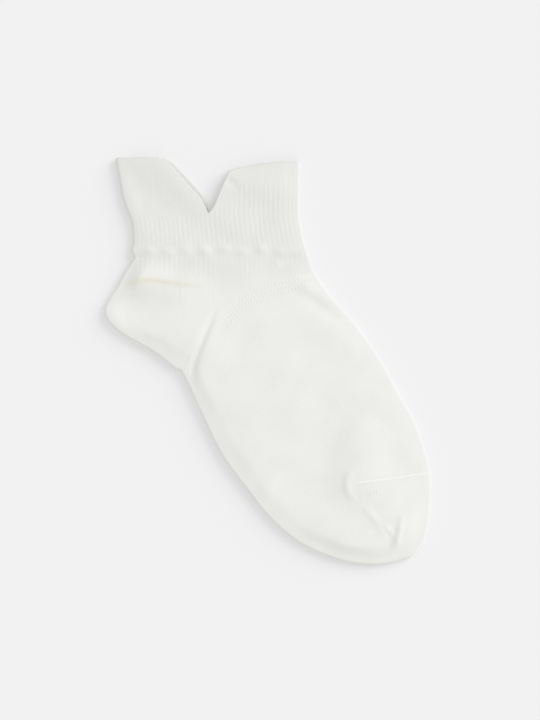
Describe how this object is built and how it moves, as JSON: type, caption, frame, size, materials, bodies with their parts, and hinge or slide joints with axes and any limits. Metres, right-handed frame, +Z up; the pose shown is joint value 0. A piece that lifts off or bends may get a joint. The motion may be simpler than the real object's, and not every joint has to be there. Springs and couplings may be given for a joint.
{
  "type": "ankle sock",
  "caption": "Ankle sock laid flat on its side, a knitted tube with a ribbed ankle, a V cut in the mouth, heel and toe pockets and a raised toe seam",
  "frame": {"origin": "under the middle of the sock's plan, on the surface it lies on", "axes": "+X from the heel's side to the toe's side, +Y up the leg to the mouth, +Z up out of the surface"},
  "size_m": [0.1753, 0.2172, 0.0072],
  "materials": {
    "plain_knit": "matt bleached cotton jersey knit",
    "rib_knit": "matt bleached cotton rib knit",
    "seam_yarn": "matt bleached cotton linking yarn"
  },
  "bodies": {
    "root": {"back_tab": "plain_knit", "front_tab": "rib_knit", "rib_band": "rib_knit", "heel_pocket": "plain_knit", "foot": "plain_knit", "toe_pocket": "plain_knit", "toe_seam": "seam_yarn"}
  },
  "joints": []
}
